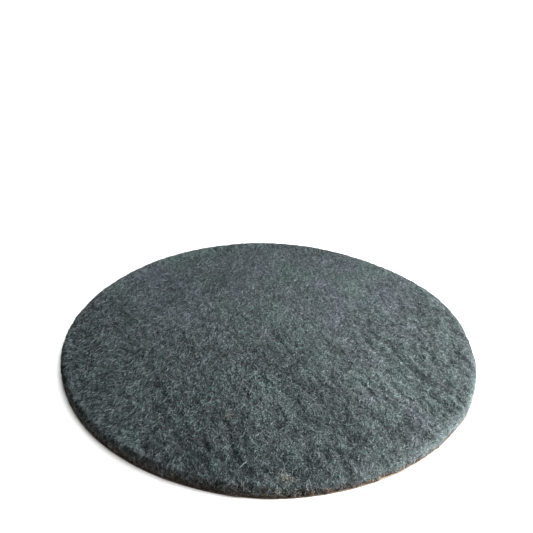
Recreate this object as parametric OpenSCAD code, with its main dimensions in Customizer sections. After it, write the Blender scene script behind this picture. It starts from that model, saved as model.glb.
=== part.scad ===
// Felt polishing wheel for a flat lap: a felt disc on a peel-and-stick backing, lying on its release liner.
// The origin is at the centre of the liner's underside. +Z points up out of the polishing face.

/* [Felt disc] */
// Diameter of the felt
felt_d = 150; // [100:1:200]
// Thickness of the felt
felt_t = 4; // [3:0.5:8]
// Radius that the cut upper edge has rounded over to
felt_edge_r = 1.5; // [0.5:0.1:2]

/* [Adhesive backing] */
// How far the backing stops short of the felt's edge
backing_inset = 1; // [0:0.1:2]
// Thickness of the glue coat between the felt and the film
bond_t = 0.1; // [0.05:0.05:0.3]
// Thickness of the carrier film
film_t = 0.1; // [0.05:0.05:0.3]
// Thickness of the tacky coat that holds the lap plate
tack_t = 0.1; // [0.05:0.05:0.3]

/* [Release liner] */
// How far the liner stands out past the felt, to be caught with a fingernail
liner_overhang = 0.8; // [0:0.1:4]
// Thickness of the liner paper
liner_t = 0.2; // [0.1:0.05:0.4]

/* [Hidden] */
$fn = 128;

felt_r = felt_d / 2;
backing_r = felt_r - backing_inset;
liner_r = felt_r + liner_overhang;

// Each layer starts where the one below it ends.
tack_z = liner_t;
film_z = tack_z + tack_t;
bond_z = film_z + film_t;
felt_z = bond_z + bond_t;

felt_grey = [0.34, 0.38, 0.39];
glue_white = [0.86, 0.85, 0.78];
film_clear = [0.80, 0.84, 0.86];
tack_amber = [0.85, 0.76, 0.52];
kraft_brown = [0.66, 0.54, 0.38];

// A flat round layer with square-cut edges.
module layer(r, z, t) {
    translate([0, 0, z])
        cylinder(r = r, h = t);
}

// Half of the felt's section, with its lower edge square and its upper edge rounded.
module felt_section() {
    square([felt_r, felt_t - felt_edge_r]);
    square([felt_r - felt_edge_r, felt_t]);
    translate([felt_r - felt_edge_r, felt_t - felt_edge_r])
        circle(r = felt_edge_r);
}

module felt_disc() {
    color(felt_grey)
        translate([0, 0, felt_z])
            rotate_extrude()
                felt_section();
}

module bond_adhesive() {
    color(glue_white)
        layer(backing_r, bond_z, bond_t);
}

module carrier_film() {
    color(film_clear)
        layer(backing_r, film_z, film_t);
}

module contact_adhesive() {
    color(tack_amber)
        layer(backing_r, tack_z, tack_t);
}

module release_liner() {
    color(kraft_brown)
        layer(liner_r, 0, liner_t);
}

felt_disc();
bond_adhesive();
carrier_film();
contact_adhesive();
release_liner();
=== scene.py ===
"""Felt polishing wheel: wool felt, its nap, its adhesive backing and the kraft liner that it lies on."""

import math

import bmesh
import bpy
import numpy as np
from mathutils import Matrix, Vector


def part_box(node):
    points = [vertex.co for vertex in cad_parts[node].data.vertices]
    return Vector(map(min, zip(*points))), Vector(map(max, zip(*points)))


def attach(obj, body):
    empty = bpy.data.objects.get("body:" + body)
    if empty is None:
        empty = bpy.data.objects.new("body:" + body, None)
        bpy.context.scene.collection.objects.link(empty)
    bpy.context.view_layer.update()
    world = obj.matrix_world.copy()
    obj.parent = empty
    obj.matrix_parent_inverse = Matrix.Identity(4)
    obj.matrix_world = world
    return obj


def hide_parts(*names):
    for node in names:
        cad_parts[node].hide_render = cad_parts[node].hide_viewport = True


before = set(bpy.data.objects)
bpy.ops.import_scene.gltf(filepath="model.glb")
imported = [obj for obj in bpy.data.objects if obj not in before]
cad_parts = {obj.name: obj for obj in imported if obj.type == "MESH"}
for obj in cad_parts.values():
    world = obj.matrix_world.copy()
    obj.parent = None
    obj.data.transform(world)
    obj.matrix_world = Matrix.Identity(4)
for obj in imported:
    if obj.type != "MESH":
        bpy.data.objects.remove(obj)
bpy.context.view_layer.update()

MM = 0.001

# ---- Sizes, from the frame -------------------------------------------------------------------------

felt_low, felt_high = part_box("felt_disc")
backing_low, backing_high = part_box("bond_adhesive")
_, liner_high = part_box("release_liner")
FELT_R = (felt_high.x - felt_low.x) / 2
FELT_TOP = felt_high.z
FELT_FOOT = felt_low.z
BACKING_R = (backing_high.x - backing_low.x) / 2
LINER_TOP = liner_high.z

# ---- Shape of the felt -----------------------------------------------------------------------------

EDGE_R = 1.5 * MM  # what the cut upper edge has rounded over to
FLAT_S = FELT_R - EDGE_R  # the face is flat out to here
ARC_S = FLAT_S + EDGE_R * math.pi / 2  # the rounding ends and the cut side begins
FOOT_S = ARC_S + (FELT_TOP - EDGE_R - FELT_FOOT)  # the side ends at the backing
BACKING_COVER = 0.15 * MM  # the side never pulls in closer to the backing than this
FOOT_INNER = 0.97  # the underside turns in to this share of its own radius
FACE_CELLS = 236  # grid cells across the face
ARC_RINGS = 6  # rings of cells round the edge
SIDE_RINGS = 7  # rings of cells down the side

# Where scissors strayed from the circle: angle in degrees, how far out in mm, half width in degrees
STRAYS = ((24, 0.6, 12), (52, -0.7, 14), (92, 0.9, 15), (154, -0.75, 24), (272, 0.5, 16), (325, 0.5, 20))

# Long creases in the face: x and y in mm, heading in degrees, half length, half width and depth in mm
DENTS = (
    (56, -26, -48, 10, 1.6, 0.26),
    (30, -44, -40, 7, 1.5, 0.16),
    (29, -19, -48, 6, 1.5, 0.10),
    (44, -4, -60, 4, 2.2, 0.12),
    (-38, -28, 125, 7, 2.2, 0.10),
    (-27, -40, 130, 6, 2.4, 0.10),
    (-17, -46, 95, 4, 1.8, 0.12),
    (-6, -57, 100, 5, 1.6, 0.13),
    (-10, -8, 40, 5, 3.0, 0.10),
)

# Painted light and shade, for the broad waves in the face: patches where the wool is coloured paler or
# darker: x and y in mm, heading in degrees, half length and half width in mm, and how much paler or darker
LIGHT_AND_SHADE_PATCHES = (
    (13, -31, -56, 27, 7, -0.64),
    (43, -30, -75, 26, 7, 0.54),
    (-1, -44, -70, 20, 8, 0.74),
    (-26, -48, -40, 12, 9, -0.32),
    (-28, 37, 30, 17, 12, -0.42),
    (-42, -23, 20, 7, 6, 0.45),
    (56, -26, 90, 16, 6, -0.45),
    (54, 30, 120, 18, 9, -0.42),
)

FURROW_HEADING = math.radians(118)  # which way the furrows run over the face

rng = np.random.default_rng(7)


# ---- Noise and curves ------------------------------------------------------------------------------

WORD = 0xFFFFFFFF  # the largest 32-bit number


def scatter(i, j, seed):
    """A repeatable number from -1 to 1 for each pair of whole numbers."""
    bits = (i * 374761393 + j * 668265263 + seed * 1442695041) & WORD
    bits = ((bits ^ (bits >> 13)) * 1274126177) & WORD
    bits = ((bits ^ (bits >> 16)) * 2246822519) & WORD
    return (bits ^ (bits >> 15)) / (WORD / 2) - 1.0


def lattice(i, next_i, j, u, v, seed):
    """Blends the numbers at the four corners around each point."""
    u, v = u * u * (3 - 2 * u), v * v * (3 - 2 * v)
    near = scatter(i, j, seed) * (1 - u) + scatter(next_i, j, seed) * u
    far = scatter(i, j + 1, seed) * (1 - u) + scatter(next_i, j + 1, seed) * u
    return near * (1 - v) + far * v


def noise(x, y, grain, seed):
    """Smooth noise from -1 to 1, with bumps about one grain across, on a lattice that each seed turns."""
    cos, sin = math.cos(seed) / grain, math.sin(seed) / grain
    x, y = x * cos - y * sin, x * sin + y * cos
    i, j = np.floor(x).astype(np.int64), np.floor(y).astype(np.int64)
    return lattice(i, i + 1, j, x - i, y - j, seed)


def ring_noise(theta, s, around, grain, seed):
    """Smooth noise from -1 to 1 on a ring: bumps counted around it, each one grain long outwards."""
    x, y = (theta / (2 * math.pi) + 1) * around, s / grain
    i, j = np.floor(x).astype(np.int64), np.floor(y).astype(np.int64)
    return lattice(i % around, (i + 1) % around, j, x - i, y - j, seed)


def streak_noise(across, along, seed):
    """Smooth noise from -1 to 1 for streaks, by how many widths across and lengths along a point is."""
    i, j = np.floor(across).astype(np.int64), np.floor(along).astype(np.int64)
    return lattice(i, i + 1, j, across - i, along - j, seed)


def smooth_step(value, low, high):
    """Goes smoothly from 0 at the low value to 1 at the high one."""
    t = np.clip((value - low) / (high - low), 0, 1)
    return t * t * (3 - 2 * t)


def near_angle(theta, middle, half_width):
    """1 in the middle of a stretch of the rim, fading to 0 on both sides of it. Angles are in radians."""
    away = np.angle(np.exp(1j * (theta - middle)))
    return np.exp(-((away / half_width) ** 2))


def toward_front_left(x, y):
    """How far a point lies from the centre toward the front left."""
    return -0.8 * x - 0.65 * y


def strayed(theta):
    """How far the cut outline stands out from the circle at each angle."""
    out = np.zeros_like(theta)
    for angle, depth, width in STRAYS:
        out += depth * MM * near_angle(theta, math.radians(angle), math.radians(width))
    return out


def furrowed(x, y):
    """How deeply the face is furrowed, from 0 to 1: most at the front right, least at the back."""
    toward_front_right = 0.77 * x - 0.64 * y
    deep = 0.25 + 0.75 * smooth_step(toward_front_right, -8 * MM, 42 * MM)
    return deep * (1 - 0.65 * smooth_step(y, 0, 40 * MM))


# ---- The felt's surface ----------------------------------------------------------------------------
# A point on it is (x, y) on the felt unrolled flat: the face, then its rounded edge, then its side.


def soft_ovals(x, y, rows):
    """The sum of soft oval spots, which are given in rows like those of DENTS and LIGHT_AND_SHADE_PATCHES."""
    total = np.zeros_like(x)
    for middle_x, middle_y, heading, length, width, height in rows:
        dx, dy = x / MM - middle_x, y / MM - middle_y
        cos, sin = math.cos(math.radians(heading)), math.sin(math.radians(heading))
        along, across = (dx * cos + dy * sin) / length, (dy * cos - dx * sin) / width
        total += height * np.exp(-(along**2) - across**2)
    return total


def furrows(x, y, s, theta):
    """The wavy furrows that run side by side over the face, and the puckers at its edge, in mm."""
    cos, sin = math.cos(FURROW_HEADING), math.sin(FURROW_HEADING)
    sway = 1.7 * MM * noise(x, y, 10 * MM, seed=5) + 0.5 * MM * noise(x, y, 4 * MM, seed=10)
    across = x * sin - y * cos + sway
    along = x * cos + y * sin
    deep = furrowed(x, y)
    furrow = 0.22 * deep * streak_noise(across / (2.3 * MM), along / (6.2 * MM), seed=6)
    middle = np.abs(streak_noise(across / (3.4 * MM), along / (8 * MM), seed=7))
    crease = -0.24 * deep * np.clip(1 - 2.2 * middle, 0, 1) ** 1.5 - soft_ovals(x, y, DENTS)
    near_edge = smooth_step(s, FLAT_S - 14 * MM, FLAT_S) * (1 - 0.8 * smooth_step(s, FLAT_S, ARC_S))
    fold = np.abs(ring_noise(theta, s, around=118, grain=12 * MM, seed=9))
    pucker = -0.18 * near_edge * np.clip(1 - 2 * fold, 0, 1)
    return furrow + crease + pucker


def calm(y):
    """How much of the wool's unevenness is left at each point: the far half is a little smoother."""
    return 1 - 0.45 * smooth_step(y, -5 * MM, 50 * MM)


def lumps(x, y):
    """The small unevenness of the wool, in mm."""
    return calm(y) * (0.12 * noise(x, y, 2.6 * MM, seed=3) + 0.09 * noise(x, y, 1.3 * MM, seed=4))


def relief(x, y, s, theta):
    """How far the felt stands out from its smooth form."""
    side = smooth_step(s, FLAT_S, ARC_S)
    swell = 0.12 * noise(x, y, 34 * MM, seed=1) * (1 - side)
    mottle = 0.07 * noise(x, y, 5.5 * MM, seed=2)
    layers = 0.08 * side * ring_noise(theta, s, around=60, grain=0.55 * MM, seed=8)
    return MM * (swell + mottle + layers + lumps(x, y) + furrows(x, y, s, theta))


def felt_point(x, y, lift=0.0):
    """Places on the felt for points of the unrolled felt, and which way it faces there."""
    s, theta = np.hypot(x, y), np.arctan2(y, x)
    turn = np.clip((s - FLAT_S) / EDGE_R, 0, math.pi / 2)
    down = np.clip(s - ARC_S, 0, None)
    stray = strayed(theta) * smooth_step(s, 0.6 * FELT_R, FLAT_S)
    r = np.minimum(s, FLAT_S) + EDGE_R * np.sin(turn) + stray
    z = FELT_TOP - EDGE_R * (1 - np.cos(turn)) - down
    out = relief(x, y, s, theta)
    facing_out, facing_up = np.sin(turn), np.cos(turn)
    r = r + out * facing_out
    r = np.where(s > ARC_S, np.maximum(r, BACKING_R + BACKING_COVER), r) + lift * facing_out
    z = z + (out + lift) * facing_up
    places = np.stack([r * np.cos(theta), r * np.sin(theta), z], -1)
    facing = np.stack([facing_out * np.cos(theta), facing_out * np.sin(theta), facing_up], -1)
    return places, facing


# ---- Mesh helpers ----------------------------------------------------------------------------------


def mesh_piece(name, places, face_sets, material):
    """An object from an array of places and a list of face arrays, each of one number of corners."""
    mesh = bpy.data.meshes.new(name)
    mesh.vertices.add(len(places))
    mesh.vertices.foreach_set("co", np.asarray(places, np.float32).ravel())
    corners = np.concatenate([f.ravel() for f in face_sets]).astype(np.int32)
    sizes = np.concatenate([np.full(len(f), f.shape[1], np.int32) for f in face_sets])
    mesh.loops.add(len(corners))
    mesh.loops.foreach_set("vertex_index", corners)
    mesh.polygons.add(len(sizes))
    mesh.polygons.foreach_set("loop_start", (np.cumsum(sizes) - sizes).astype(np.int32))
    mesh.polygons.foreach_set("use_smooth", np.ones(len(sizes), bool))
    mesh.materials.append(material)
    mesh.update(calc_edges=True)
    piece = bpy.data.objects.new(name, mesh)
    bpy.context.scene.collection.objects.link(piece)
    return piece


# ---- Materials -------------------------------------------------------------------------------------

MIX_FIRST, MIX_SECOND, MIX_RESULT = 6, 7, 2  # a Mix node's colour sockets, which have no names of their own


def new_material(name):
    """A new material, its node tree and its Principled shader."""
    material = bpy.data.materials.new(name)
    material.use_nodes = True
    tree = material.node_tree
    return material, tree, tree.nodes["Principled BSDF"]


def stretched(tree, coordinates, stretch, turn):
    """Coordinates scaled along each axis and turned about Z, in radians."""
    mapping = tree.nodes.new("ShaderNodeMapping")
    mapping.inputs["Scale"].default_value = stretch
    mapping.inputs["Rotation"].default_value = (0, 0, turn)
    tree.links.new(coordinates, mapping.inputs["Vector"])
    return mapping.outputs["Vector"]


def noise_node(tree, coordinates, scale, detail=3.0, roughness=0.55, stretch=(1, 1, 1), turn=0.0):
    """Cloudy noise from 0 to 1, which may be drawn out into streaks."""
    node = tree.nodes.new("ShaderNodeTexNoise")
    node.inputs["Scale"].default_value = scale
    node.inputs["Detail"].default_value = detail
    node.inputs["Roughness"].default_value = roughness
    tree.links.new(stretched(tree, coordinates, stretch, turn), node.inputs["Vector"])
    return node.outputs["Fac"]


def cell_node(tree, coordinates, scale):
    """Distance from the middle of the nearest cell."""
    node = tree.nodes.new("ShaderNodeTexVoronoi")
    node.inputs["Scale"].default_value = scale
    tree.links.new(coordinates, node.inputs["Vector"])
    return node.outputs["Distance"]


def ramp_node(tree, value, stops):
    """A colour for each value, from stops of (value, colour)."""
    node = tree.nodes.new("ShaderNodeValToRGB")
    while len(node.color_ramp.elements) < len(stops):
        node.color_ramp.elements.new(0.5)
    for element, (place, colour) in zip(node.color_ramp.elements, stops):
        element.position = place
        element.color = (*colour, 1)
    tree.links.new(value, node.inputs["Fac"])
    return node.outputs["Color"]


def grey_ramp(tree, value, stops):
    """A number for each value, from stops of (value, number)."""
    return ramp_node(tree, value, tuple((place, (grey, grey, grey)) for place, grey in stops))


def fade_up(tree, coordinates, low, high):
    """1 below one height and 0 above another."""
    split = tree.nodes.new("ShaderNodeSeparateXYZ")
    fade = tree.nodes.new("ShaderNodeMapRange")
    fade.inputs["From Min"].default_value = high
    fade.inputs["From Max"].default_value = low
    tree.links.new(coordinates, split.inputs["Vector"])
    tree.links.new(split.outputs["Z"], fade.inputs["Value"])
    return fade.outputs["Result"]


def mix_node(tree, share, one, two, blend="MIX"):
    """Two colours mixed. The share and the colours may each be a socket or a plain value."""
    node = tree.nodes.new("ShaderNodeMix")
    node.data_type = "RGBA"
    node.blend_type = blend
    first, second = node.inputs[MIX_FIRST], node.inputs[MIX_SECOND]
    for socket, value in ((node.inputs["Factor"], share), (first, one), (second, two)):
        if isinstance(value, bpy.types.NodeSocket):
            tree.links.new(value, socket)
        else:
            socket.default_value = value
    return node.outputs[MIX_RESULT]


def bump_node(tree, height, strength, distance, below=None):
    """A bumpy normal, which may lie over another one."""
    bump = tree.nodes.new("ShaderNodeBump")
    bump.inputs["Strength"].default_value = strength
    bump.inputs["Distance"].default_value = distance
    tree.links.new(height, bump.inputs["Height"])
    if below is not None:
        tree.links.new(below, bump.inputs["Normal"])
    return bump.outputs["Normal"]


def object_coordinates(tree):
    """Places in the piece's own space, in metres."""
    return tree.nodes.new("ShaderNodeTexCoord").outputs["Object"]


def felt_material():
    """The felt under its nap: wool between the fibres, darker than the nap as painted shade in the gaps."""
    material, tree, shader = new_material("felt_wool")
    place = object_coordinates(tree)
    blotch = noise_node(tree, place, 90, 4)
    hue = noise_node(tree, place, 55, 2)
    fibre = noise_node(tree, place, 1500, 3, stretch=(1, 0.35, 1), turn=0.9)
    # Painted shade: the body is coloured darker than the nap's wool, so the gaps between fibres look
    # shaded.
    base = ramp_node(tree, blotch, ((0.3, (0.020, 0.025, 0.026)), (0.7, (0.042, 0.053, 0.055))))
    tint = ramp_node(tree, hue, ((0.35, (0.036, 0.031, 0.035)), (0.65, (0.027, 0.041, 0.037))))
    colour = mix_node(tree, 0.35, base, tint)
    streaks = grey_ramp(tree, fibre, ((0.35, 0.4), (0.65, 1.6)))
    colour = mix_node(tree, 1.0, colour, streaks, "MULTIPLY")
    # Painted shade: the side darkens to a warm brown-black from 2.6 mm up down to 0.9 mm up, all round.
    shaded_foot = fade_up(tree, place, low=0.9 * MM, high=2.6 * MM)
    colour = mix_node(tree, shaded_foot, colour, (0.046, 0.027, 0.018, 1))
    tree.links.new(colour, shader.inputs["Base Color"])
    shader.inputs["Roughness"].default_value = 0.95
    shader.inputs["Sheen Weight"].default_value = 0.2
    shader.inputs["Sheen Roughness"].default_value = 0.5
    shader.inputs["Sheen Tint"].default_value = (0.75, 0.85, 0.87, 1)
    tree.links.new(bump_node(tree, fibre, 0.3, 0.2 * MM), shader.inputs["Normal"])
    return material


def wool_material(name, colour, sheen, shine):
    """One shade of dyed wool. Its values are plain, because a fibre is far thinner than any grain on it."""
    material, _, shader = new_material(name)
    shader.inputs["Base Color"].default_value = (*colour, 1)
    shader.inputs["Roughness"].default_value = 0.85
    shader.inputs["Specular IOR Level"].default_value = shine
    shader.inputs["Sheen Weight"].default_value = sheen
    shader.inputs["Sheen Roughness"].default_value = 0.45
    shader.inputs["Sheen Tint"].default_value = (0.72, 0.88, 0.90, 1)
    return material


def glue_material():
    """Dried white glue, a little yellowed, with wool fibres caught in it."""
    material, tree, shader = new_material("bond_glue")
    place = object_coordinates(tree)
    cloud = noise_node(tree, place, 160, 4)
    wool = noise_node(tree, place, 900, 4, stretch=(1, 0.25, 1), turn=0.5)
    glue = ramp_node(tree, cloud, ((0.3, (0.50, 0.48, 0.38)), (0.7, (0.68, 0.66, 0.55))))
    caught = grey_ramp(tree, wool, ((0.33, 0.35), (0.48, 1.0)))
    tree.links.new(mix_node(tree, 1.0, glue, caught, "MULTIPLY"), shader.inputs["Base Color"])
    tree.links.new(grey_ramp(tree, cloud, ((0.3, 0.35), (0.7, 0.6))), shader.inputs["Roughness"])
    tree.links.new(bump_node(tree, wool, 0.4, 0.04 * MM), shader.inputs["Normal"])
    return material


def film_material():
    """Clear polyester film, with its fine drawing lines and scuffs."""
    material, tree, shader = new_material("carrier_film")
    place = object_coordinates(tree)
    lines = noise_node(tree, place, 500, 2, stretch=(1, 0.02, 1))
    scuff = noise_node(tree, place, 120, 5)
    base = ramp_node(tree, scuff, ((0.3, (0.55, 0.60, 0.62)), (0.7, (0.66, 0.71, 0.73))))
    tree.links.new(base, shader.inputs["Base Color"])
    tree.links.new(grey_ramp(tree, scuff, ((0.3, 0.08), (0.75, 0.28))), shader.inputs["Roughness"])
    tree.links.new(bump_node(tree, lines, 0.1, 0.02 * MM), shader.inputs["Normal"])
    return material


def tack_material():
    """Tacky amber coat on film, over glue and dark wool that show through it in blotches."""
    material, tree, shader = new_material("tack_amber")
    place = object_coordinates(tree)
    cloud = noise_node(tree, place, 42, 5)
    wool = noise_node(tree, place, 620, 5, roughness=0.7, stretch=(1, 0.4, 1), turn=0.7)
    ripple = noise_node(tree, place, 75, 3, stretch=(1, 0.3, 1), turn=0.2)
    bubble = cell_node(tree, place, 210)
    amber = ramp_node(tree, cloud, ((0.3, (0.165, 0.142, 0.098)), (0.7, (0.225, 0.197, 0.142))))
    through = ramp_node(tree, wool, ((0.36, (0.044, 0.047, 0.045)), (0.62, (0.180, 0.163, 0.124))))
    colour = mix_node(tree, grey_ramp(tree, cloud, ((0.35, 0.65), (0.65, 0.35))), amber, through)
    pale = grey_ramp(tree, bubble, ((0.10, 1.0), (0.16, 0.0)))
    colour = mix_node(tree, pale, colour, (0.32, 0.29, 0.22, 1))
    tree.links.new(colour, shader.inputs["Base Color"])
    tree.links.new(grey_ramp(tree, ripple, ((0.3, 0.16), (0.7, 0.34))), shader.inputs["Roughness"])
    shader.inputs["Coat Weight"].default_value = 0.6
    shader.inputs["Coat Roughness"].default_value = 0.08
    shader.inputs["Coat Tint"].default_value = (1.0, 0.96, 0.87, 1)
    waves = bump_node(tree, ripple, 0.35, 0.25 * MM)
    tree.links.new(bump_node(tree, wool, 0.2, 0.05 * MM, waves), shader.inputs["Normal"])
    return material


def kraft_material():
    """Brown kraft paper with cloudy pulp, fine fibres, dark flecks and a silicone sheen."""
    material, tree, shader = new_material("kraft_paper")
    place = object_coordinates(tree)
    cloud = noise_node(tree, place, 130, 6, roughness=0.65)
    pulp = noise_node(tree, place, 900, 5, roughness=0.7, stretch=(1, 0.45, 1), turn=0.35)
    fleck = noise_node(tree, place, 800, 2, stretch=(1, 0.35, 1), turn=1.2)
    base = ramp_node(tree, cloud, ((0.3, (0.185, 0.138, 0.098)), (0.7, (0.245, 0.188, 0.138))))
    base = mix_node(tree, 1.0, base, grey_ramp(tree, pulp, ((0.3, 0.86), (0.7, 1.12))), "MULTIPLY")
    base = mix_node(tree, grey_ramp(tree, fleck, ((0.68, 0.0), (0.74, 0.7))), base, (0.10, 0.065, 0.04, 1))
    tree.links.new(base, shader.inputs["Base Color"])
    tree.links.new(grey_ramp(tree, cloud, ((0.3, 0.40), (0.7, 0.60))), shader.inputs["Roughness"])
    shader.inputs["Specular IOR Level"].default_value = 0.4
    shader.inputs["Coat Weight"].default_value = 0.15
    shader.inputs["Coat Roughness"].default_value = 0.3
    tree.links.new(bump_node(tree, pulp, 0.3, 0.04 * MM), shader.inputs["Normal"])
    return material


# ---- The felt's body -------------------------------------------------------------------------------


def square_to_disc(u, v):
    """Spreads a square grid from -1 to 1 over the unit disc, so that its border is the circle."""
    big_u = np.abs(u) >= np.abs(v)
    far = np.where(big_u, u, v)
    small = np.where(big_u, v, u)
    safe = np.where(far == 0, 1, far)
    swing = (math.pi / 4) * small / safe
    angle = np.where(big_u, swing, math.pi / 2 - swing)
    return far * np.cos(angle), far * np.sin(angle)


def disc_grid(cells_across):
    """A unit disc's grid: its points, its four-cornered faces, and its border in order."""
    steps = np.linspace(-1, 1, cells_across + 1)
    u, v = np.meshgrid(steps, steps, indexing="ij")
    x, y = square_to_disc(u, v)
    index = np.arange((cells_across + 1) ** 2).reshape(cells_across + 1, cells_across + 1)
    cells = np.stack([index[:-1, :-1], index[1:, :-1], index[1:, 1:], index[:-1, 1:]], -1).reshape(-1, 4)
    border = np.concatenate([index[:-1, 0], index[-1, :-1], index[:0:-1, -1], index[0, :0:-1]])
    return x.ravel(), y.ravel(), cells, border


def wall(upper, lower):
    """Faces between two rings of points, for a surface that is seen from outside."""
    return np.stack([upper, lower, np.roll(lower, -1), np.roll(upper, -1)], -1)


def make_felt():
    """The felt's body as one closed mesh: its face, rounded edge, side and underside."""
    x, y, cells, border = disc_grid(FACE_CELLS)
    x, y = x * FLAT_S, y * FLAT_S
    rings = np.concatenate([
        np.linspace(FLAT_S, ARC_S, ARC_RINGS + 1)[1:],
        np.linspace(ARC_S, FOOT_S, SIDE_RINGS + 1)[1:],
    ])
    theta = np.arctan2(y[border], x[border])
    all_x = [x] + [s * np.cos(theta) for s in rings]
    all_y = [y] + [s * np.sin(theta) for s in rings]
    places, _ = felt_point(np.concatenate(all_x), np.concatenate(all_y))
    upper = border
    faces = []
    for ring in range(len(rings)):
        lower = len(x) + ring * len(border) + np.arange(len(border))
        faces.append(wall(upper, lower))
        upper = lower
    places[upper, 2] = FELT_FOOT
    inner = len(places) + np.arange(len(border))
    places = np.concatenate([places, places[upper] * np.array([FOOT_INNER, FOOT_INNER, 1.0])])
    faces.append(wall(upper, inner))
    underside = inner[::-1][None, :]
    return mesh_piece("felt", places, [cells, np.concatenate(faces), underside], felt_material())


# ---- The nap ---------------------------------------------------------------------------------------

FOOT_GAP = 0.1 * MM  # fibres end this far above the felt's lower edge
ROOT_DEPTH = 0.04 * MM  # how deep a fibre's root lies in the felt


def combed(x):
    """Where the nap is long and combed one way, from 0 on the right to 1 on the left."""
    return 1 - smooth_step(x, -50 * MM, 10 * MM)


def nap_lie(x, y):
    """How the nap lies at each point: its heading, and how far fibres stray from it, in radians."""
    leftward = combed(x)
    main = math.radians(50) * leftward + math.radians(112) * (1 - leftward)
    main = main + 0.45 * noise(x, y, 12 * MM, seed=20)
    spread = 0.50 + 0.65 * (1 - leftward)
    return main, spread


def spindles(path_x, path_y, lift, width, thick):
    """Closed tapered fibres. Each row of the path is one fibre's points on the unrolled felt."""
    count, points = path_x.shape
    places, facing = felt_point(path_x.ravel(), path_y.ravel(), lift.ravel())
    places, facing = places.reshape(count, points, 3), facing.reshape(count, points, 3)
    return tapered_tubes(places, facing, width, thick)


def tapered_tubes(places, facing, width, thick):
    """Three-sided tubes along rows of places, drawn out to a point at both ends."""
    count, points, _ = places.shape
    along = np.gradient(places, axis=1)
    along /= np.linalg.norm(along, axis=-1, keepdims=True) + 1e-12
    side = np.cross(along, facing)
    side /= np.linalg.norm(side, axis=-1, keepdims=True) + 1e-12
    up = np.cross(side, along)
    middle = slice(1, points - 1)
    corners = []
    for angle in np.radians((90, 210, 330)):
        corners.append(
            places[:, middle]
            + side[:, middle] * (math.cos(angle) * width[:, :, None] / 2)
            + up[:, middle] * (math.sin(angle) * thick[:, :, None] / 2)
        )
    rings = points - 2
    tube = np.stack(corners, 2).reshape(count, rings * 3, 3)
    verts = np.concatenate([places[:, :1], tube, places[:, -1:]], 1)
    verts_each = verts.shape[1]
    tip = verts_each - 1
    last_ring = 1 + (rings - 1) * 3
    tris, quads = [], []
    for corner in range(3):
        after = (corner + 1) % 3
        tris.append([0, 1 + after, 1 + corner])
        tris.append([tip, last_ring + corner, last_ring + after])
        for ring in range(1, last_ring, 3):
            quads.append([ring + corner, ring + after, ring + 3 + after, ring + 3 + corner])
    first = np.arange(count)[:, None, None] * verts_each
    tris = (first + np.array(tris)[None]).reshape(-1, 3)
    quads = (first + np.array(quads)[None]).reshape(-1, 4)
    return verts.reshape(-1, 3), tris, quads


def bent_paths(x, y, heading, size, curl, points):
    """Paths on the unrolled felt: arcs through (x, y) at their middle, one row each."""
    t = np.linspace(-0.5, 0.5, points)
    step = size[:, None] / (points - 1)
    angle = heading[:, None] + curl[:, None] * t[None, :]
    dx, dy = np.cos(angle) * step, np.sin(angle) * step
    path_x = x[:, None] + np.cumsum(dx, 1) - dx.sum(1, keepdims=True) / 2
    path_y = y[:, None] + np.cumsum(dy, 1) - dy.sum(1, keepdims=True) / 2
    squeeze = np.minimum(1, (FOOT_S - FOOT_GAP) / np.hypot(path_x, path_y))
    return path_x * squeeze, path_y * squeeze


def random_roots(count, s_from, s_to, chance=None):
    """Places for fibres between two distances from the centre, thinned out where the chance is low."""
    x, y = np.zeros(0), np.zeros(0)
    while len(x) < count:
        s = np.sqrt(rng.uniform(s_from**2, s_to**2, count))
        theta = rng.uniform(-math.pi, math.pi, count)
        more_x, more_y = s * np.cos(theta), s * np.sin(theta)
        if chance is not None:
            kept = rng.uniform(0, 1, count) < chance(more_x)
            more_x, more_y = more_x[kept], more_y[kept]
        x, y = np.concatenate([x, more_x]), np.concatenate([y, more_y])
    return x[:count], y[:count]


def lay_fibres(roots, length, width, arch, rise, bend, points=5):
    """Fibres at these roots, each an arched strand whose far end may stand free."""
    x, y = roots
    count = len(x)
    main, spread = nap_lie(x, y)
    heading = main + spread * rng.standard_normal(count) + math.pi * rng.integers(0, 2, count)
    size = length * rng.lognormal(0, 0.3, count)
    path_x, path_y = bent_paths(x, y, heading, size, bend * rng.standard_normal(count), points)
    u = np.linspace(0, 1, points)
    hump = arch * rng.uniform(0.2, 1, count)[:, None] * (4 * u * (1 - u))[None, :]
    free = rise * rng.uniform(0, 1, count)[:, None] ** 2 * (u**2)[None, :]
    lift = hump + free - ROOT_DEPTH
    taper = np.sin(np.pi * u[1:-1]) ** 0.6
    wide = width * rng.lognormal(0, 0.25, count)[:, None] * taper[None, :]
    return path_x, path_y, lift, wide, wide * 0.6


# The wool's shades from dark to pale: name, colour, share of the fibres
SHADES = (
    ("ink", (0.008, 0.010, 0.011), 0.17),
    ("charcoal", (0.026, 0.034, 0.036), 0.20),
    ("slate", (0.054, 0.070, 0.074), 0.22),
    ("grey", (0.095, 0.122, 0.127), 0.22),
    ("ash", (0.150, 0.187, 0.193), 0.14),
    ("pale", (0.240, 0.275, 0.278), 0.05),
)
# The hues that each shade comes in: name, tint. The brown one is painted shade with a warm cast at the
# felt's foot.
HUES = (
    ("", (0.945, 1.0, 1.015)),
    ("_green", (0.91, 1.04, 0.975)),
    ("_plum", (1.025, 0.97, 1.07)),
    ("_brown", (1.85, 0.98, 0.60)),
)
PLAIN, GREEN, PLUM, BROWN = range(len(HUES))
# The foot's brown fibres have almost no sheen or shine, so that their painted shade stays dark and warm.
PLAIN_WOOL = {"sheen": 0.25, "shine": 0.25}
DULL_FOOT_WOOL = {"sheen": 0.02, "shine": 0.08}
LONG_COUNT = 44000
SHORT_COUNT = 100000
LOOSE_COUNT = 3600  # loose hairs over the face
FRINGE_COUNT = 5200  # loose hairs round the cut edge


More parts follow.
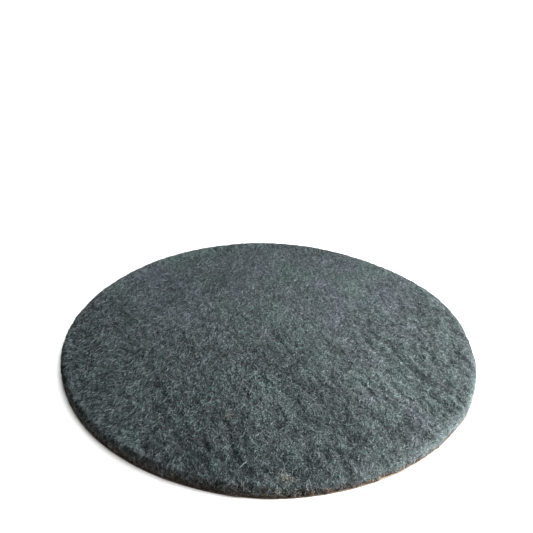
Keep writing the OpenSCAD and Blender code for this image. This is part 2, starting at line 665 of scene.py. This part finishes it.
def nap_piece(name, colour, *layers):
    """One piece from layers of fibres. Each layer is what lay_fibres gives."""
    verts, tris, quads = [], [], []
    first = 0
    for layer in layers:
        more, more_tris, more_quads = spindles(*layer)
        verts.append(more)
        tris.append(more_tris + first)
        quads.append(more_quads + first)
        first += len(more)
    gloss = DULL_FOOT_WOOL if name.endswith(HUES[BROWN][0]) else PLAIN_WOOL
    wool = wool_material("wool_" + name, colour, **gloss)
    piece = mesh_piece(name, np.concatenate(verts), tris + quads, wool)
    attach(piece, "pad")
    return piece


def rank_tones(layer):
    """Each fibre's rank from dark to pale, from 0 to 1, with painted shade and highlights mixed into it."""
    x, y = layer[0].mean(1), layer[1].mean(1)
    s, theta = np.hypot(x, y), np.arctan2(y, x)
    side = smooth_step(s, FLAT_S, ARC_S)
    front_left_shade = smooth_step(toward_front_left(x, y), -8 * MM, 50 * MM)
    far_right_shade = smooth_step(x, 42 * MM, 66 * MM)
    turning = smooth_step(s, FLAT_S - 6 * MM, FLAT_S)
    rim = smooth_step(s, FLAT_S - 9 * MM, FLAT_S - 3 * MM)
    front_right_highlight = near_angle(theta, math.radians(-50), 0.7)
    far_left_highlight = near_angle(theta, math.radians(155), 0.5)
    # Random tone, plus painted shade: fibres are darker where the face dips in lumps and furrows.
    tone_and_painted_light = 2.2 * lumps(x, y) + 2.8 * furrows(x, y, s, theta) + 0.30 * noise(x, y, 7 * MM, seed=30)
    # Painted shade at the front left and far right, and the painted light and shade of the patches.
    tone_and_painted_light = tone_and_painted_light - 0.60 * front_left_shade - 0.35 * far_right_shade + soft_ovals(x, y, LIGHT_AND_SHADE_PATCHES)
    # Painted shade on the side, deepest at the front left.
    tone_and_painted_light = tone_and_painted_light - 0.30 * side - front_left_shade * (0.8 * side + 0.35 * turning)
    # Painted highlight round the rim, strongest at the front right and far left.
    tone_and_painted_light = tone_and_painted_light + rim * (0.12 + 0.42 * front_right_highlight + 0.50 * far_left_highlight)
    tone = calm(y) * rng.standard_normal(len(x)) + tone_and_painted_light
    rank = np.empty(len(x))
    rank[np.argsort(tone)] = (np.arange(len(x)) + 0.5) / len(x)
    return rank


def pick_hues(layer):
    """Which hue each fibre has: patches of the dye, and brown as painted shade at the foot of the side."""
    x, y = layer[0].mean(1), layer[1].mean(1)
    far_left = np.exp(-((x / MM + 48) ** 2 + (y / MM - 24) ** 2) / 28**2)
    hue = noise(x, y, 9 * MM, seed=31) - 0.75 * far_left + 0.3 * smooth_step(-y, 15 * MM, 50 * MM)
    hue = hue + 0.25 * smooth_step(toward_front_left(x, y), 20 * MM, 60 * MM)
    hue = hue + 0.35 * rng.standard_normal(len(x))
    kind = np.where(hue < -0.3, PLUM, np.where(hue > 0.3, GREEN, PLAIN))
    # Painted shade: fibres near the foot are brown, up to 3 mm high at the front left, where the side is
    # shaded.
    shade_reach = 0.9 * MM + 2.1 * MM * smooth_step(toward_front_left(x, y), 10 * MM, 50 * MM)
    shaded_foot = np.hypot(x, y) + 0.55 * MM * rng.standard_normal(len(x)) > FOOT_S - shade_reach
    return np.where(shaded_foot, BROWN, kind)


def make_nap():
    """The fibres that lie on the felt, one piece for each shade and hue of wool."""
    long_roots = random_roots(LONG_COUNT, 0, FOOT_S, lambda x: 0.25 + 0.75 * combed(x))
    long_nap = lay_fibres(
        long_roots, length=1.9 * MM, width=0.15 * MM, arch=0.22 * MM, rise=0.24 * MM, bend=1.1,
    )
    short_roots = random_roots(SHORT_COUNT, 0, FOOT_S, lambda x: 1.0 - 0.6 * combed(x))
    short_nap = lay_fibres(
        short_roots, length=0.82 * MM, width=0.185 * MM, arch=0.16 * MM, rise=0.34 * MM, bend=1.2, points=4,
    )
    layers = (long_nap, short_nap)
    ranks = [rank_tones(layer) for layer in layers]
    kinds = [pick_hues(layer) for layer in layers]
    pieces = []
    start = 0.0
    for shade, colour, share in SHADES:
        for hue, (tail, tint) in enumerate(HUES):
            dyed = tuple(c * t for c, t in zip(colour, tint))
            chosen = []
            for layer, rank, kind in zip(layers, ranks, kinds):
                some = (rank >= start) & (rank < start + share) & (kind == hue)
                chosen.append([part[some] for part in layer])
            pieces.append(nap_piece("nap_" + shade + tail, dyed, *chosen))
        start += share
    return pieces


def make_fuzz():
    """Single fine hairs: loose ones over the face, and ones that stand out all round the cut edge."""
    face = lay_fibres(
        random_roots(LOOSE_COUNT, 0, FLAT_S), length=2.9 * MM, width=0.055 * MM,
        arch=0.45 * MM, rise=0.7 * MM, bend=2.0, points=7,
    )
    edge = lay_fibres(
        random_roots(FRINGE_COUNT, FLAT_S - 1.5 * MM, FOOT_S - 0.8 * MM), length=1.8 * MM,
        width=0.05 * MM, arch=0.25 * MM, rise=1.3 * MM, bend=2.0, points=7,
    )
    return [
        nap_piece("fuzz_face", (0.26, 0.30, 0.31), face),
        nap_piece("fuzz_edge", (0.24, 0.28, 0.285), edge),
    ]


# Pale fibres that didn't take the dye: x and y in mm, heading in degrees, length in mm, curl in radians
STRAY_FIBRES = ((-6.5, -66.8, 50, 3.9, 0.15), (-3.0, -54.0, 40, 2.6, 1.6), (31, 12, 150, 2.6, 0.9))


def make_stray_fibres():
    """The few undyed fibres that lie on the face."""
    x, y, heading, length, curl = np.array(STRAY_FIBRES).T
    points = 9
    path_x, path_y = bent_paths(x * MM, y * MM, np.radians(heading), length * MM, curl, points)
    u = np.linspace(0, 1, points)
    lift = 0.25 * MM + 0.25 * MM * (4 * u * (1 - u))[None, :] * np.ones_like(x)[:, None]
    wide = 0.11 * MM * np.sin(np.pi * u[1:-1])[None, :] ** 0.4 * np.ones_like(x)[:, None]
    return nap_piece("stray_fibres", (0.46, 0.49, 0.47), (path_x, path_y, lift, wide, wide * 0.8))


def make_tuft(name, x, y, spread, count, length, colour):
    """A little cluster of fibres around a point on the unrolled felt."""
    x = x + spread * rng.standard_normal(count)
    y = y + spread * rng.standard_normal(count)
    heading = rng.uniform(0, 2 * math.pi, count)
    size = length * rng.lognormal(0, 0.3, count)
    points = 5
    path_x, path_y = bent_paths(x, y, heading, size, 1.5 * rng.standard_normal(count), points)
    u = np.linspace(0, 1, points)
    lift = 0.12 * MM + 0.5 * MM * rng.uniform(0, 1, count)[:, None] * u[None, :] ** 1.5
    wide = 0.11 * MM * np.sin(np.pi * u[1:-1])[None, :] ** 0.5 * np.ones(count)[:, None]
    return nap_piece(name, colour, (path_x, path_y, lift, wide, wide * 0.7))


# ---- Release liner ---------------------------------------------------------------------------------

LINER_CELLS = 96  # grid cells across the liner


def make_liner():
    """The paper disc, cut a little unevenly, and lifting by a hair here and there at its rim."""
    x, y, cells, border = disc_grid(LINER_CELLS)
    theta, r = np.arctan2(y, x), np.hypot(x, y)
    toward_right = near_angle(theta, math.radians(-25), 0.6)
    nicks = ring_noise(theta, r * 0, around=40, grain=1.0, seed=41)
    waves = ring_noise(theta, r * 0, around=14, grain=1.0, seed=42)
    margin = 0.16 * MM + 0.22 * MM * toward_right + 0.05 * MM * nicks
    outline = FELT_R + margin + strayed(theta) * 0.8
    x, y = x * outline, y * outline
    rim = smooth_step(r, 0.985, 1.0)
    cockle = 0.05 * MM * rim * (1 + waves)
    top = np.stack([x, y, LINER_TOP + cockle], -1)
    bottom = np.stack([x[border], y[border], cockle[border]], -1)
    lower = len(top) + np.arange(len(border))
    places = np.concatenate([top, bottom])
    underside = lower[::-1][None, :]
    return mesh_piece("liner_paper", places, [cells, wall(border, lower), underside], kraft_material())


# ---- Build -----------------------------------------------------------------------------------------

felt = make_felt()
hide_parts("felt_disc")
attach(felt, "pad")
nap = make_nap() + make_fuzz() + [
    make_stray_fibres(),
    make_tuft(
        "tuft_pale", x=6.3 * MM, y=-71.0 * MM, spread=1.2 * MM, count=60,
        length=1.8 * MM, colour=(0.33, 0.335, 0.29),
    ),
    make_tuft(
        "speck_buff", x=-12.0 * MM, y=-45.5 * MM, spread=0.5 * MM, count=12,
        length=1.2 * MM, colour=(0.34, 0.27, 0.235),
    ),
]

liner = make_liner()
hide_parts("release_liner")
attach(liner, "liner")

for node, material in (
    ("bond_adhesive", glue_material()),
    ("carrier_film", film_material()),
    ("contact_adhesive", tack_material()),
):
    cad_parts[node].data.materials.clear()
    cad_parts[node].data.materials.append(material)

# ---- Floor, light and camera -----------------------------------------------------------------------
# Places and sizes are in metres, and light is in watts, or watts per square metre for the sun lamp.

FLOOR_SIZE = 8.0
WINDOW_PLACE = Vector((0.230, -0.042, 0.093))
WINDOW_SIZE = 0.14
WINDOW_POWER = 2.68
OVERHEAD_FROM = Vector((0.3, 0.15, 1.0))
OVERHEAD_SPREAD = math.radians(60)
OVERHEAD_POWER = 4.7
ROOM_LIGHT = 0.07  # how bright the white room is, where the white background is 1
CAMERA_PLACE = Vector((0, -0.2277, 0.1608))
CAMERA_AIM = Vector((-0.0021, 0.0606, 0))
CAMERA_ROLL = math.radians(1.66)


def floor_material():
    """White paper with a faint tooth."""
    material, tree, shader = new_material("floor_paper")
    tooth = noise_node(tree, object_coordinates(tree), 40, 5)
    white = ramp_node(tree, tooth, ((0.3, (0.86, 0.86, 0.855)), (0.7, (0.88, 0.88, 0.875))))
    tree.links.new(white, shader.inputs["Base Color"])
    shader.inputs["Roughness"].default_value = 0.9
    return material


def make_floor():
    """A wide flat floor under everything, which isn't part of the object."""
    bm = bmesh.new()
    bmesh.ops.create_grid(bm, x_segments=8, y_segments=8, size=FLOOR_SIZE / 2)
    mesh = bpy.data.meshes.new("floor")
    bm.to_mesh(mesh)
    bm.free()
    floor = bpy.data.objects.new("floor", mesh)
    bpy.context.scene.collection.objects.link(floor)
    mesh.materials.append(floor_material())
    return floor


def make_window_light():
    """One soft square light at the right, low enough to rake over the nap. It points at the origin."""
    data = bpy.data.lights.new("window", "AREA")
    data.shape = "SQUARE"
    data.size = WINDOW_SIZE
    data.energy = WINDOW_POWER
    light = bpy.data.objects.new("window", data)
    light.location = WINDOW_PLACE
    light.rotation_euler = WINDOW_PLACE.to_track_quat("Z", "Y").to_euler()
    light.visible_camera = False
    bpy.context.scene.collection.objects.link(light)


def make_floor_light(floor):
    """A soft overhead light for the floor alone, which keeps it white without lighting the felt."""
    data = bpy.data.lights.new("overhead", "SUN")
    data.angle = OVERHEAD_SPREAD
    data.energy = OVERHEAD_POWER
    light = bpy.data.objects.new("overhead", data)
    light.rotation_euler = OVERHEAD_FROM.to_track_quat("Z", "Y").to_euler()
    bpy.context.scene.collection.objects.link(light)
    lit = bpy.data.collections.new("lit_from_overhead")
    lit.objects.link(floor)
    light.light_linking.receiver_collection = lit


def make_world():
    """Dim white light from all round, with a white background behind the floor's edge."""
    world = bpy.data.worlds.new("studio")
    bpy.context.scene.world = world
    world.use_nodes = True
    tree = world.node_tree
    path = tree.nodes.new("ShaderNodeLightPath")
    strength = tree.nodes.new("ShaderNodeMapRange")
    strength.inputs["To Min"].default_value = ROOM_LIGHT
    strength.inputs["To Max"].default_value = 1.0
    tree.links.new(path.outputs["Is Camera Ray"], strength.inputs["Value"])
    tree.links.new(strength.outputs["Result"], tree.nodes["Background"].inputs["Strength"])
    tree.nodes["Background"].inputs["Color"].default_value = (1, 1, 1, 1)


def make_camera():
    """The camera, at the angle from which the wheel is seen across a table."""
    data = bpy.data.cameras.new("camera")
    data.lens = 50
    data.sensor_width = 36
    data.clip_start = 0.01
    camera = bpy.data.objects.new("camera", data)
    look = (CAMERA_AIM - CAMERA_PLACE).normalized().to_track_quat("-Z", "Y").to_matrix()
    roll = Matrix.Rotation(CAMERA_ROLL, 3, "Z")
    camera.matrix_world = Matrix.Translation(CAMERA_PLACE) @ (look @ roll).to_4x4()
    bpy.context.scene.collection.objects.link(camera)
    bpy.context.scene.camera = camera


floor = make_floor()
make_window_light()
make_floor_light(floor)
make_camera()
make_world()
bpy.context.scene.view_settings.view_transform = "Standard"
